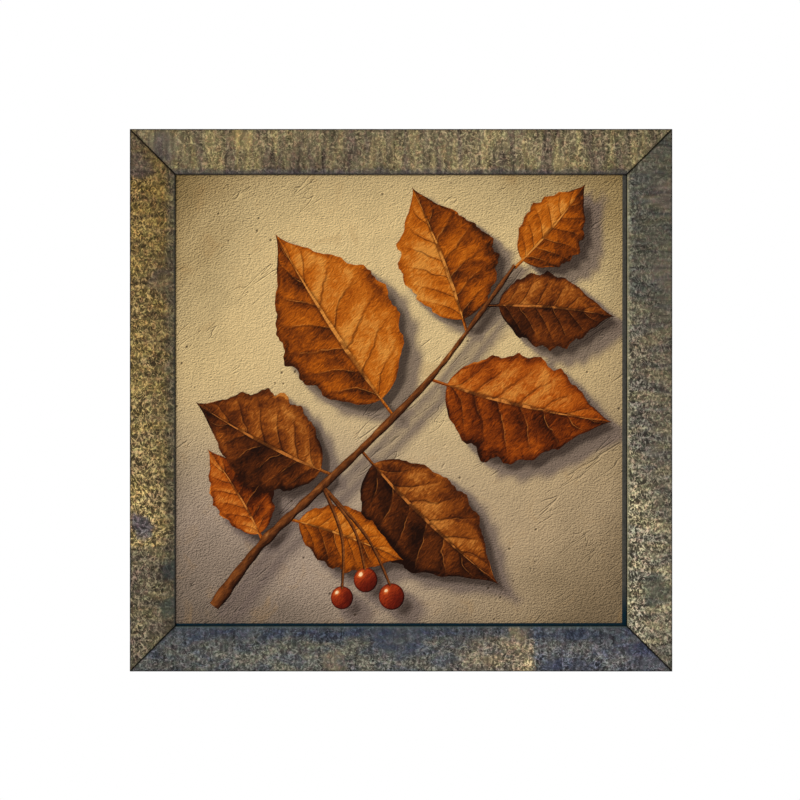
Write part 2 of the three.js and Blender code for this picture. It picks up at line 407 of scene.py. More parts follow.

# zones run clockwise along each rail: (share of the length, body colour, how far the paint is rubbed)
# blots: (share of the length, mm from the sight edge, radius in mm, colour)
# inner is the colour by the picture, as wide as innerReach in mm
# stroke and bands stretch the grain along and across the rail, and lift and dusk tint the bands
# crossRub and crossLevel change the rub and the tone from the sight edge to the outer edge
# the colour for the sight edge is painted light and shade there: a highlight on the right rail, shade on the
# top and left
railLooks = {
    "top": {
        "zones": [(0.0, (112, 101, 77), 0.85), (0.2, (122, 109, 80), 1.0), (0.38, (112, 100, 77), 0.85),
                  (0.65, (126, 113, 86), 1.1), (1.0, (114, 103, 77), 1.0)],
        "blots": [(0.2, 29, 10, (146, 128, 88)), (0.06, 22, 14, (98, 90, 80))],
        "inner": tint(86, 80, 74), "innerReach": 6, "edgeLightShade": tint(62, 60, 62), "sight": tint(62, 60, 62),
        "stroke": (1.0, 0.85, 1), "bands": (1.0, 0.2, 1),
        "crossRub": (1.7, 2.0), "crossLevel": (0.96, 1.0),
        "seed": 3.1, "lift": (1.24, 1.22, 1.06, 1), "dusk": (0.76, 0.73, 0.86, 1),
    },
    "right": {
        "zones": [(0.0, (85, 82, 71), 0.8), (0.3, (91, 87, 75), 0.9), (0.4, (105, 96, 80), 1.25),
                  (0.62, (109, 102, 87), 1.5), (0.72, (127, 118, 97), 1.85), (1.0, (116, 109, 92), 1.7)],
        "blots": [(0.12, 32, 13, (101, 91, 81)), (0.27, 32, 14, (101, 93, 83)),
                  (0.85, 26, 15, (88, 88, 76))],
        "inner": tint(112, 107, 88), "innerReach": 5, "edgeLightShade": tint(166, 160, 128), "sight": tint(8, 9, 10),
        "stroke": (0.85, 1.0, 1), "bands": (1.0, 0.35, 1),
        "crossRub": (2.4, 1.44), "crossLevel": (1.08, 0.95),
        "seed": 17.7, "lift": (1.16, 1.14, 1.01, 1), "dusk": (0.82, 0.86, 0.97, 1),
    },
    "bottom": {
        "zones": [(0.0, (84, 84, 89), 1.1), (0.252, (90, 90, 90), 1.2), (0.259, (130, 117, 95), 1.4),
                  (0.34, (115, 105, 89), 1.3), (0.42, (88, 87, 83), 1.1), (0.7, (90, 89, 82), 1.1),
                  (1.0, (76, 77, 78), 1.0)],
        "blots": [(0.05, 25, 15, (64, 66, 80)), (0.17, 35, 13, (62, 65, 78)), (0.225, 35, 12, (62, 65, 78)),
                  (0.28, 4, 9, (124, 112, 92)), (0.5, 8, 24, (72, 76, 84)), (0.62, 31, 12, (110, 100, 84))],
        "inner": tint(68, 73, 83), "innerReach": 16, "edgeLightShade": tint(84, 98, 94), "sight": tint(40, 52, 56),
        "stroke": (0.95, 1.0, 1), "bands": (0.5, 1.0, 1),
        "crossRub": (1.6, 2.3), "crossLevel": (0.94, 1.08),
        "seed": 31.3, "lift": (1.18, 1.14, 1.0, 1), "dusk": (0.8, 0.86, 1.03, 1),
    },
    "left": {
        "zones": [(0.0, (96, 88, 72), 1.3), (0.2305, (101, 91, 71), 1.35), (0.2325, (129, 112, 76), 1.8),
                  (0.5, (117, 100, 65), 1.55), (0.9, (110, 90, 52), 1.35), (1.0, (84, 74, 58), 0.85)],
        "blots": [(0.268, 27, 10, (82, 80, 88)), (0.93, 32, 12, (84, 74, 66)), (0.72, 10, 12, (92, 80, 64)),
                  (0.12, 3, 9, (66, 72, 68)), (0.19, 3, 9, (66, 72, 68))],
        "inner": tint(88, 80, 62), "innerReach": 11, "edgeLightShade": tint(60, 62, 60), "sight": tint(56, 60, 58),
        "stroke": (0.8, 1.0, 1), "bands": (1.0, 0.4, 1),
        "crossRub": (1.6, 2.24), "crossLevel": (0.89, 1.1),
        "seed": 44.9, "lift": (1.14, 1.12, 0.98, 1), "dusk": (0.86, 0.84, 0.94, 1),
    },
}


def railFinish(name, form, look):
    material = newMaterial("rubbedPaint_" + name)
    uv = meshCoords(material)
    along, across = axesOf(uv)[:2]
    shifted = moved(uv, (look["seed"], look["seed"] / 2, 0))
    clouds = grain(shifted, 42, 4.0, 0.8, 0.6)
    bands = grain(stretch(shifted, look["bands"]), 95, 3.0, 0.4)
    combed = grain(stretch(shifted, (1, 0.14, 1)), 300, 2.0, 0.3)
    hues = grain(shifted, 260, 2.0, 0.6)
    place = share(total(along, sway(hues, 7 * mm)), -frameHalf, frameHalf)
    body = ramp(place, [(at, tint(*hue)) for at, hue, rub in look["zones"]])
    ragged = total(across, sway(clouds, 12 * mm))
    reach = look["innerReach"]
    body = glaze(ragged, reach * mm, reach * 0.3 * mm, 0.85, body, look["inner"])
    covered = 0.0
    for at, out, radius, hue in look["blots"]:
        centre = (frameHalf * (2 * at - 1), out * mm, 0)
        far = total(distanceTo(uv, centre), sway(clouds, 22 * mm))
        blot = fade(far, radius * 1.2 * mm, radius * 0.6 * mm, 0, 0.75)
        body = blend(blot, body, tint(*hue))
        covered = calc("MAXIMUM", covered, blot)
    # pale strokes where the top coat is rubbed away, and dark flecks between them
    worms = stretch(shifted, look["stroke"])
    first = grain(worms, 160, 2.0, 1.0)
    second = grain(worms, 250, 2.0, 0.8)
    speck = grain(worms, 430, 2.0, 0.4)
    lines = calc("MAXIMUM", fade(away(first), 0.06, 0.0), fade(away(second), 0.055, 0.0, 0, 0.85))
    lines = times(lines, fade(speck, 0.39, 0.57, 0.3, 1.1))
    strokes = total(form["between"], times(lines, form["lines"]), sway(speck, form["speck"]),
                    times(fade(second, 0.45, 0.36), form["flecks"]))
    rub = ramp(place, [(at, grey(rub / form["most"])) for at, hue, rub in look["zones"]])
    rub = times(rub, fade(across, 5 * mm, 28 * mm, *look["crossRub"]))
    rub = times(rub, fade(clouds, 0.38, 0.62, 0.78, 1.04))
    rub = times(rub, fade(covered, 0.1, 0.75, 1.0, 0.6))
    tone = total(form["base"], times(strokes, rub), sway(bands, form["bands"]), sway(combed, form["combed"]))
    tone = calc("MAXIMUM", tone, form["darkest"])
    tone = times(tone, fade(across, 4 * mm, 30 * mm, *look["crossLevel"]))
    cast = glaze(bands, 0.51, 0.6, 1, grey(1), look["lift"])
    cast = glaze(bands, 0.48, 0.39, 1, cast, look["dusk"])
    rust = glaze(hues, 0.52, 0.66, 1, grey(1), (1.09, 0.95, 0.99, 1))
    rust = glaze(hues, 0.48, 0.34, 1, rust, (0.94, 1.04, 0.98, 1))
    colour = scaled(tinted(tinted(body, cast), rust), tone)
    # painted light and shade along the sight edge: a highlight on the right rail and shade on the top and
    # left
    colour = blend(painted(material, "edgeLightShade"), colour, look["edgeLightShade"])
    # dark mitre joints, and painted shade along the outer rounded edge
    colour = blend(painted(material, "darkJointRimShade"), colour, tint(16, 14, 13))
    relief = total(strokes, sway(bands, 0.8))
    return surface(material, colour, 0.66, relief, 0.14, Specular_IOR_Level=0.05)


def darkStain(name, colour, pale=0.1):
    material = newMaterial(name)
    coords = objectCoords(material)
    cloud = grain(coords, 60, 4.0, 0.5)
    streak = grain(coords, 420, 3.0, 1.0)
    colour = glaze(cloud, 0.3, 0.7, 0.5, colour, tint(8, 8, 8))
    colour = glaze(streak, 0.5, 0.8, pale, colour, tint(96, 84, 62))
    return surface(material, colour, 0.6, streak, 0.3, Specular_IOR_Level=0.1)


def bareWood(name, look, alongX):
    # growth lines run with the length, and pores are short dashes in the same direction
    material = newMaterial(name)
    coords = objectCoords(material)
    scale = (0.05, 1, 1) if alongX else (1, 1, 0.05)
    fine = stretch(coords, scale)
    warp = grain(fine, 38, 3.0, 0.6)
    lines = grain(stretch(coords, (scale[0] * 0.5, 1, scale[2] * 0.5)), look["lines"], 4.0, 1.2)
    pores = grain(fine, 1300, 2.0, 0.2)
    colour = glaze(warp, 0.35, 0.65, 1, look["light"], look["mid"])
    colour = glaze(lines, 0.52, 0.66, 0.75, colour, look["dark"])
    colour = glaze(pores, 0.6, 0.72, 0.45, colour, look["dark"])
    soil = grain(coords, 18, 4.0, 0.3)
    colour = glaze(soil, 0.45, 0.8, 0.35, colour, look["soil"])
    squeeze = (0.5, 0, 1) if alongX else (1, 0, 0.5)
    for x, z, radius in look["knots"]:
        centre = (x * mm * squeeze[0], 0, (centreZ + z * mm) * squeeze[2])
        far = total(distanceTo(stretch(coords, squeeze), centre), sway(warp, 2.5 * mm))
        colour = glaze(far, radius * 2.4 * mm, radius * mm, 0.55, colour, look["dark"])
        colour = glaze(far, radius * 1.05 * mm, radius * 0.75 * mm, 0.9, colour, look["knot"])
    height = minus(times(lines, 0.4), times(pores, 0.5))
    return surface(material, colour, look["roughness"], height, 0.25, Specular_IOR_Level=0.3)


pineLook = {"light": tint(226, 200, 152), "mid": tint(210, 176, 122), "dark": tint(168, 122, 70),
            "soil": tint(150, 124, 92), "knot": tint(112, 66, 34), "lines": 150, "roughness": 0.62,
            "knots": [(-64, -164, 3.4), (165, 66, 2.8), (92, 168, 2.2)]}
beechLook = {"light": tint(206, 168, 122), "mid": tint(190, 148, 102), "dark": tint(138, 98, 60),
             "soil": tint(120, 92, 64), "lines": 240, "roughness": 0.55, "knots": []}
railWoodLook = {"light": tint(196, 164, 118), "mid": tint(178, 142, 96), "dark": tint(128, 92, 56),
                "soil": tint(104, 82, 60), "knot": tint(84, 54, 30), "lines": 120, "roughness": 0.7,
                "knots": [(-213, 20, 3.0), (120, 212, 2.6)]}


def woods(name, look):
    return {way: bareWood(f"{name}_{way}", look, way == "level") for way in ("level", "upright")}


pine, beech, railWood = woods("pine", pineLook), woods("beech", beechLook), woods("rail", railWoodLook)
lie = {"top": "level", "bottom": "level", "left": "upright", "right": "upright"}
outerStain = darkStain("outerEdgeStain", tint(84, 74, 56), 0.4)


def railProfile(form):
    # closed section of the moulding as (distance from the picture's centre, y, zone)
    points = []

    def line(start, end, steps, zone):
        for i in range(steps):
            at = i / steps
            points.append((start[0] + (end[0] - start[0]) * at, start[1] + (end[1] - start[1]) * at, zone))

    def arc(centre, radius, first, last, steps, zone):
        for i in range(steps):
            angle = math.radians(first + (last - first) * i / steps)
            points.append((centre[0] + radius * math.cos(angle), centre[1] + radius * math.sin(angle), zone))

    rebateWall = sightHalf + form["rebate"] * mm
    outer, inner = form["outerRound"] * mm, form["sightRound"] * mm
    line((frameHalf, backY), (rebateWall, backY), 6, "raw")
    line((rebateWall, backY), (rebateWall, lipBackY), 5, "raw")
    line((rebateWall, lipBackY), (sightHalf, lipBackY), 3, "raw")
    line((sightHalf, lipBackY), (sightHalf, frontY + inner), 5, "sight")
    arc((sightHalf + inner, frontY + inner), inner, 180, 270, 5, "face")
    line((sightHalf + inner, frontY), (frameHalf - outer, frontY), form["frontSteps"], "face")
    arc((frameHalf - outer, frontY + outer), outer, 270, 360, 6, "face")
    line((frameHalf, frontY + outer), (frameHalf, backY), 10, "outer")
    points.append(points[0])
    return points


zoneIndex = {"face": 0, "sight": 1, "outer": 2, "raw": 3}


def railZone(form, spot):
    # which finish a place on the rail's surface shows
    inRebate = spot.z < sightHalf + (form["rebate"] + 0.1) * mm and spot.y > lipBackY - 0.1 * mm
    if spot.y > backY - 0.05 * mm or inRebate:
        return "raw"
    if spot.z > frameHalf - 0.02 * mm:
        return "outer"
    return "sight" if spot.z < sightHalf + 0.02 * mm else "face"


def makeRail(side, form, look):
    profile = railProfile(form)
    rows = len(profile) - 1
    columns = form["columns"]
    ends = len(form["endSteps"])
    seed = look["seed"]

    def spot(u, v):
        column = round((u + 1) / 2 * columns)
        row = round((v + 1) / 2 * rows)
        radius, y, zone = profile[row]
        reach = radius - form["mitreGap"] * mm
        fromEnd = min(column, columns - column)
        if fromEnd < ends:
            x = reach - form["endSteps"][fromEnd] * mm
            x = -x if column < columns / 2 else x
        else:
            inside = reach - form["endInset"] * mm
            x = inside * ((column - ends) / (columns - 2 * ends) * 2 - 1)
        return x, radius, y, zone, fromEnd

    def place(u, v):
        x, radius, y, zone, fromEnd = spot(u, v)
        across = radius - sightHalf
        if zone == "face":
            # dents, saw marks and the wear of both arrises all take material off the face
            (dentLong, dentWide), (markLong, markWide) = form["dentSize"], form["sawMarkSize"]
            dent = max(0.0, lump(x / mm / dentLong, across / mm / dentWide, seed)) * form["dent"]
            mark = halfLump(x / mm / markLong, across / mm / markWide, seed + 5)
            nearest = min(across, frameHalf - radius) / mm
            chip = max(0.0, lump(x / mm / form["chipLength"], seed + 9, 0) - 0.05) * form["arrisWear"]
            drop = dent + mark * form["sawMark"] + chip * bell(nearest, form["chipReach"])
            if fromEnd < ends:
                drop += form["endDrop"][fromEnd]
            y += drop * mm
        return Vector((x, y, radius))

    def lay(u, v):
        x, radius, y = spot(u, v)[:3]
        return x, radius - sightHalf + (y - frontY)

    bm = mappedGrid(columns, rows, place, lay)
    darkJointRimShadeLayer = bm.verts.layers.float.new("darkJointRimShade")
    edgeLightShadeLayer = bm.verts.layers.float.new("edgeLightShade")
    for vert in bm.verts:
        across = (vert.co.z - sightHalf) / mm
        toOuter = (frameHalf - vert.co.z) / mm
        toMitre = (vert.co.z - form["mitreGap"] * mm - abs(vert.co.x)) / mm
        rag = halfLump(vert.co.x / mm / form["ragLength"], across / form["ragLength"], seed + 20)
        # dark mitre joints, and painted shade darkening the outer rounded edge
        seam = form["darkJointRimShadeMost"] * bell(toMitre, form["seamWidth"] + 0.35 * rag)
        rim = (0.8 + 0.3 * rag) * bell(toOuter, form["rimWidth"])
        vert[darkJointRimShadeLayer] = min(form["darkJointRimShadeMost"], max(seam, rim))
        # painted light and shade along the sight edge, ragged along its length
        vert[edgeLightShadeLayer] = (0.45 + 0.6 * rag) * bell(across, form["edgeLightShadeWidth"])
    for face in bm.faces:
        face.material_index = zoneIndex[railZone(form, face.calc_center_median())]
    bmesh.ops.remove_doubles(bm, verts=bm.verts, dist=1e-6)
    capped = bmesh.ops.holes_fill(bm, edges=openRim(bm), sides=0)["faces"]
    for face in capped:
        face.material_index = zoneIndex["raw"]
    bmesh.ops.recalc_face_normals(bm, faces=bm.faces)
    turn = sideNames.index(side) * math.pi / 2
    bmesh.ops.transform(bm, matrix=middle @ Matrix.Rotation(turn, 4, "Y"), verts=bm.verts)
    # the lip's inner wall: a dark stain, darkened per side as painted shade, darkest on the right
    sightStainShade = darkStain("sightStainShade_" + side, look["sight"])
    materials = [railFinish(side, rubForm, look), sightStainShade, outerStain, railWood[lie[side]]]
    newPiece("rail_" + side, bm, materials, ["frame_rail_" + side])


for side in sideNames:
    makeRail(side, railForm, railLooks[side])
print("frame rails done")

# the painted sprig, in mm: leaves along a branch, each given by its base, direction, length and half width
sprig = {
    "veins": 8,
    "sweep": 0.17,
    "petiole": 1.4,
    "narrow": 0.82,  # width of a leaf's upper half against its lower half
    "lowest": 0.12,  # the lowest leaves lie this far before the paint, and every back this far behind it
    "layerStep": 0.3,
    "puff": 0.25,
    "shadowShift": (15.0, -13.0),
    "softEdge": (-9, 13),  # where the wide shadow fades
    "deepEdge": (-4, 6),  # the same for the deep shadow, which is shifted by the share deepShift
    "deepShift": 0.4,
    "shadowShares": (0.6, 0.4),
    "branch": [(-158, -174), (-118, -122), (-72, -78), (-22, -30), (28, 22), (66, 72), (96, 114)],
    "branchRadius": (4.4, 1.5),
    "berryRoot": (-66, -73),
    "berryScale": (1, 0.14, 1.04),  # a ball flattened into low relief
    "berryDepth": 0.5,
}
leaves = [
    {"base": (96, 112), "turn": 44, "length": 92, "half": 30, "bend": 0.1, "look": "amber", "layer": 3},
    {"base": (72, 80), "turn": 2, "length": 108, "half": 35, "bend": -0.12, "look": "umber", "layer": 1},
    {"base": (56, 56), "turn": 106, "length": 132, "half": 45, "bend": 0.08, "look": "amber", "layer": 2},
    {"base": (24, 18), "turn": -19, "length": 158, "half": 51, "bend": 0.1, "look": "rust", "layer": 2},
    {"base": (-6, -14), "turn": 127, "length": 184, "half": 57, "bend": -0.07, "look": "amber", "layer": 1},
    {"base": (-34, -42), "turn": -50, "length": 162, "half": 47, "bend": 0.1, "look": "umber", "layer": 1},
    {"base": (-56, -64), "turn": 159, "length": 132, "half": 44, "bend": -0.12, "look": "umber", "layer": 3},
    {"base": (-96, -100), "turn": -14, "length": 104, "half": 29, "bend": -0.1, "look": "amber", "layer": 3},
    {"base": (-116, -121), "turn": 114, "length": 92, "half": 27, "bend": 0.12, "look": "rust", "layer": 2},
]
berries = [
    {"place": (-30, -152), "radius": 10.0},
    {"place": (-8, -166), "radius": 10.8},
    {"place": (-50, -167), "radius": 9.4},
]


def leafWidth(leaf, s):
    inside = np.clip(s, 0.0, 1.0)
    body = np.sin(math.pi * np.clip((inside - 0.1) / 0.9, 0, 1) ** 0.8) ** (0.62 + 0.75 * inside)
    wave = 1 + 0.045 * np.sin(2 * math.pi * sprig["veins"] * inside + leaf["turn"])
    return np.maximum(leaf["half"] * body * wave, sprig["petiole"] * (1 - inside))


def leafAxes(leaf):
    angle = math.radians(leaf["turn"])
    return np.array((math.cos(angle), math.sin(angle))), np.array((-math.sin(angle), math.cos(angle)))


def beyondLeaf(leaf, x, z):
    # how far a point lies outside the leaf's outline, in mm, less than 0 inside
    along, across = leafAxes(leaf)
    right, up = x - leaf["base"][0], z - leaf["base"][1]
    s = (right * along[0] + up * along[1]) / leaf["length"]
    off = right * across[0] + up * across[1] - leaf["bend"] * leaf["length"] * s * s
    width = leafWidth(leaf, s) * np.where(off > 0, sprig["narrow"], 1.0)
    past = np.maximum(s - 1, -s) * leaf["length"]
    return np.maximum(np.abs(off) - width, past)


def beyondBerry(berry, x, z):
    return np.hypot(x - berry["place"][0], z - berry["place"][1]) - berry["radius"]


def beyondBranch(x, z):
    nearest = np.full(x.shape, 1e3)
    for (ax, az), (bx, bz) in zip(sprig["branch"], sprig["branch"][1:]):
        t = np.clip(((x - ax) * (bx - ax) + (z - az) * (bz - az)) / ((bx - ax) ** 2 + (bz - az) ** 2), 0, 1)
        nearest = np.minimum(nearest, np.hypot(x - ax - t * (bx - ax), z - az - t * (bz - az)))
    return nearest - sprig["branchRadius"][0] * 0.7


def paintedShadow(x, z):
    deep, soft = np.zeros(x.shape), np.zeros(x.shape)
    right, down = sprig["shadowShift"]
    near = sprig["deepShift"]
    shapes = [lambda px, pz, one=leaf: beyondLeaf(one, px, pz) for leaf in leaves]
    shapes += [lambda px, pz, one=berry: beyondBerry(one, px, pz) for berry in berries]
    shapes.append(beyondBranch)
    for shape in shapes:
        wide = shape(x - right, z - down)
        close = shape(x - right * near, z - down * near)
        soft = np.maximum(soft, 1 - smoothStep(wide, *sprig["softEdge"]))
        deep = np.maximum(deep, 1 - smoothStep(close, *sprig["deepEdge"]))
    softShare, deepShare = sprig["shadowShares"]
    return np.clip(soft * softShare + deep * deepShare, 0, 1)


# canvas: cloth turned round the bars, with a dark-primed face that shows as a thin line at two edges
clothForm = {"thick": 0.5, "groundThick": 0.3, "turnover": 22.0, "corner": 1.2,
             "foldLength": 26, "foldHeight": 0.7}


def primedCloth():
    material = newMaterial("darkPrimer")
    coords = objectCoords(material)
    weave = grain(coords, 500, 2.0)
    height = axesOf(coords)[2]
    body = glaze(height, centreZ - 0.184, centreZ - 0.15, 1, tint(13, 40, 52), tint(76, 74, 68))
    colour = glaze(weave, 0.4, 0.7, 0.35, body, tint(40, 42, 40))
    return surface(material, colour, 0.8, weave, 0.2, Specular_IOR_Level=0.02)


def rawCloth():
    # plain weave: two crossed sets of threads, with slubs and a little soiling
    material = newMaterial("cottonCanvas")
    coords = objectCoords(material)
    heights = []
    for axis in ("X", "Z"):
        inputs = {"Vector": coords, "Scale": 330.0, "Distortion": 0.6, "Detail": 2.0, "Detail Scale": 0.6}
        threads = join("ShaderNodeTexWave", inputs, bands_direction=axis, wave_profile="SIN")
        heights.append(threads.outputs["Fac"])
    weave = calc("MAXIMUM", heights[0], heights[1])
    slubs = grain(stretch(coords, (0.1, 1, 1)), 600, 2.0, 0.3)
    cloud = grain(coords, 24, 4.0, 0.4)
    colour = glaze(weave, 0.2, 1.0, 1, tint(186, 170, 138), tint(224, 211, 184))
    colour = glaze(slubs, 0.58, 0.72, 0.4, colour, tint(168, 146, 108))
    colour = glaze(cloud, 0.45, 0.75, 0.3, colour, tint(176, 152, 116))
    return surface(material, colour, 0.9, weave, 0.25, Sheen_Weight=0.2)


def makeCloth(form, cotton):
    bm = bmesh.new()
    bmesh.ops.create_cube(bm, size=1)
    clothFront = paintY + form["groundThick"] * mm
    deep = clothHigh.y - clothFront
    bmesh.ops.scale(bm, vec=(2 * clothHalf, deep, 2 * clothHalf), verts=bm.verts)
    bmesh.ops.translate(bm, vec=(0, clothFront + deep / 2, centreZ), verts=bm.verts)
    back = max(bm.faces, key=lambda face: face.calc_center_median().y)
    bmesh.ops.inset_region(bm, faces=[back], thickness=form["turnover"] * mm, use_even_offset=True)
    bmesh.ops.delete(bm, geom=[back], context="FACES_ONLY")
    folds = [edge for edge in bm.edges if not edge.is_boundary and edge.calc_face_angle(0) > 0.5]
    bmesh.ops.bevel(bm, geom=folds, offset=form["corner"] * mm, segments=3, profile=0.5, affect="EDGES",
                    material=-1)
    long = [edge for edge in bm.edges if edge.calc_length() > 60 * mm]
    bmesh.ops.subdivide_edges(bm, edges=long, cuts=30, use_grid_fill=True)
    bmesh.ops.recalc_face_normals(bm, faces=bm.faces)
    bmesh.ops.solidify(bm, geom=bm.faces[:], thickness=form["thick"] * mm)
    bmesh.ops.recalc_face_normals(bm, faces=bm.faces)
    for face in bm.faces:
        centre = face.calc_center_median()
        face.material_index = 0 if centre.y < clothFront + 0.05 * mm else 1
    cloth = newPiece("canvas_cloth", bm, [primedCloth(), cotton], ["canvas"])


def makeFold(number, form, cloth):
    # the surplus at a corner lies tucked under a flap that ends on the diagonal
    inner, outer = clothHalf / mm - form["turnover"] + 0.4, clothHalf / mm - form["corner"]
    reach = inner - form["foldLength"]

    def place(u, v):
        s, t = bothWays(u, v)
        x = inner + (outer - inner) * t
        z = x + (reach - x) * s
        pucker = halfLump(x / 5, z / 14, number)
        high = form["foldHeight"] * (1 - s) ** 1.3 * (0.75 + 0.4 * pucker)
        return Vector((x * mm, clothHigh.y + high * mm, z * mm))

    bm = mappedGrid(30, 16, place, bothWays)
    closeBack(bm, clothHigh.y - 0.1 * mm)
    turn = middle @ Matrix.Rotation(number * math.pi / 2, 4, "Y")
    bmesh.ops.transform(bm, matrix=turn, verts=bm.verts)
    newPiece(f"corner_fold_{number}", bm, [cloth], sharpAngle=50)


cottonCloth = rawCloth()
makeCloth(clothForm, cottonCloth)
for number in range(1, 5):
    makeFold(number, clothForm, cottonCloth)
print("cloth done")

# painted ground, in mm: a thin plaster-like layer, darker towards its corners and cooler towards its foot
groundForm = {
    "cells": 280,
    "tuck": 1.6,  # under the frame's lip, at the top and left
    "rightEdge": (187.2, 186.9),  # from the centre, at the top and at the bottom
    "bottomEdge": (-188.7, -188.4),  # from the centre, at the left and at the right
    "grain": 0.07,
    "swell": 0.06,
    "back": 0.32,
    "glow": (-0.003, 0.008),  # middle of the palest part, in metres from the centre
    "glowReach": 0.27,
    "toneLimits": (0.35, 1.4),
    "sideLight": (-0.00045, 0, 0.00045),  # step in metres towards the light that the grain is painted in
    "rings": [(0.0, tint(209, 182, 132)), (0.56, tint(204, 177, 126)), (0.7, tint(184, 160, 114)),
              (0.84, tint(157, 133, 90)), (1.0, tint(116, 95, 57))],
}


def plasterHeight(where):
    # wiggly grain, with sparse slanting scratches and pits cut into it
    level = turned(where, 10)
    wiggle = grain(stretch(level, (0.62, 1, 1)), 900, 3.0, 0.9, 0.65)
    slanted = turned(where, 38)
    cut = fade(away(grain(stretch(slanted, (0.15, 1, 1)), 110, 2.0, 0.3)), 0.016, 0.003)
    cut = times(cut, fade(grain(where, 27, 2.0), 0.54, 0.6, 0, 0.5))
    cells = join("ShaderNodeTexVoronoi", {"Vector": where, "Scale": 100.0}).outputs["Distance"]
    some = fade(grain(where, 16, 3.0), 0.5, 0.56, 0, 0.5)
    pits = times(fade(cells, 0.15, 0.06), some)
    return minus(wiggle, total(cut, pits)), pits


def groundFinish():
    material = newMaterial("groundPaint")
    coords = objectCoords(material)
    glowX, glowZ = groundForm["glow"]
    centred = moved(coords, (-glowX, 0, -centreZ - glowZ))
    distance = distanceTo(stretch(centred, (1, 0, 1)), (0, 0, 0))
    clouds = grain(coords, 13, 4.0, 0.5, 0.55)
    patch = grain(coords, 46, 3.0, 0.8)
    reach = total(distance, sway(clouds, 0.1))
    colour = ramp(share(reach, 0.0, groundForm["glowReach"]), groundForm["rings"])
    side, height = axesOf(centred)[::2]
    colour = scaled(colour, fade(height, -0.2, 0.1, 0.99, 1.035))
    dull = scaled(tint(168, 142, 106), fade(reach, 0.15, 0.26, 1.0, 0.52))
    colour = glaze(minus(side, height), 0.03, 0.24, 0.62, colour, dull)
    cool = scaled(tint(159, 139, 122), fade(reach, 0.15, 0.26, 1.0, 0.45))
    toLeft = fade(side, 0.14, -0.1, 0.3, 0.95)
    chill = times(fade(height, 0.03, -0.12), toLeft)
    colour = blend(chill, colour, cool)
    raised, pits = plasterHeight(coords)
    # painted light and shade on the plaster grain: its height a step towards the light, less its height
    # here, lightens slopes facing the light and darkens those facing away, more strongly towards the corners
    stepToLight = moved(coords, groundForm["sideLight"])
    gain = fade(distance, 0.16, 0.26, 3.4, 8.4)
    gain = times(gain, fade(distance, 0.08, 0.16, 0.7, 1.0))
    tone = times(minus(raised, plasterHeight(stepToLight)[0]), gain)
    darkest, palest = groundForm["toneLimits"]
    tone = calc("MAXIMUM", total(1.0, tone, sway(patch, 0.3)), darkest)
    tone = calc("MINIMUM", tone, palest)
    colour = glaze(patch, 0.56, 0.76, 0.3, colour, tint(150, 116, 70))
    shade = total(painted(material, "shadow"), sway(patch, 0.3))
    colour = glaze(shade, 0.05, 0.55, 0.86, colour, tint(108, 92, 84))
    colour = glaze(shade, 0.55, 1.0, 0.85, colour, tint(54, 42, 36))
    # painted shade: the pits are darkened
    colour = blend(times(pits, 1.3), scaled(colour, tone), tint(58, 43, 27))
    return surface(material, colour, 0.7, raised, 0.35, Specular_IOR_Level=0.05)


def makeGround(form):
    tuck = sightHalf / mm + form["tuck"]
    rightTop, rightBottom = form["rightEdge"]
    bottomLeft, bottomRight = form["bottomEdge"]

    def place(u, v):
        s, t = bothWays(u, v)
        right = rightBottom + (rightTop - rightBottom) * t
        bottom = bottomLeft + (bottomRight - bottomLeft) * s
        x, z = -tuck + (right + tuck) * s, bottom + (tuck - bottom) * t
        warp = 1.6 * lump(x / 11, z / 11, 4)
        high = form["grain"] * lump(x / 2.3 + warp, z / 1.6 - warp, 1)
        high += form["swell"] * lump(x / 16, z / 16, 8)
        high *= smoothOne(min(x + tuck, tuck - z), 0, 3)
        return Vector((x * mm, paintY - high * mm, z * mm))

    bm = mappedGrid(form["cells"], form["cells"], place, bothWays)
    shadow = paintedShadow(*flatPlaces(bm))
    shadowLayer = bm.verts.layers.float.new("shadow")
    for vert, depth in zip(bm.verts, shadow):
        vert[shadowLayer] = float(depth)
    closeBack(bm, paintY + form["back"] * mm)
    paintedPiece("painted_ground", bm, groundFinish(), 60)


makeGround(groundForm)
print("ground done")

# leaf paint: colours from dark to light, read from the painted shade
leafLooks = {
    "amber": {"stops": [(0.0, tint(52, 22, 6)), (0.25, tint(112, 50, 8)), (0.5, tint(160, 78, 10)),
                        (0.72, tint(184, 98, 20)), (1.0, tint(206, 132, 52))], "vein": tint(204, 130, 54)},
    "rust": {"stops": [(0.0, tint(40, 15, 5)), (0.25, tint(92, 36, 7)), (0.5, tint(138, 60, 9)),
                       (0.72, tint(172, 84, 18)), (1.0, tint(198, 122, 48))], "vein": tint(194, 118, 50)},
    "umber": {"stops": [(0.0, tint(28, 11, 5)), (0.28, tint(62, 27, 8)), (0.52, tint(98, 45, 12)),
                        (0.74, tint(138, 70, 18)), (1.0, tint(184, 112, 44))], "vein": tint(180, 106, 44)},
    "twig": {"stops": [(0.0, tint(30, 14, 7)), (0.3, tint(72, 36, 15)), (0.6, tint(122, 66, 26)),
                       (1.0, tint(200, 134, 70))]},
    "berry": {"stops": [(0.0, tint(34, 8, 6)), (0.35, tint(98, 24, 10)), (0.65, tint(160, 54, 18)),
                        (0.88, tint(208, 104, 44)), (1.0, tint(244, 208, 160))]},
}


def brushHeight(where):
    slanted = turned(where, 43)
    hairs = grain(stretch(slanted, (0.28, 1, 1)), 850, 2.5, 0.8, 0.6)
    daubs = grain(stretch(slanted, (0.6, 1, 1)), 190, 3.0, 1.6, 0.6)
    return hairs, daubs


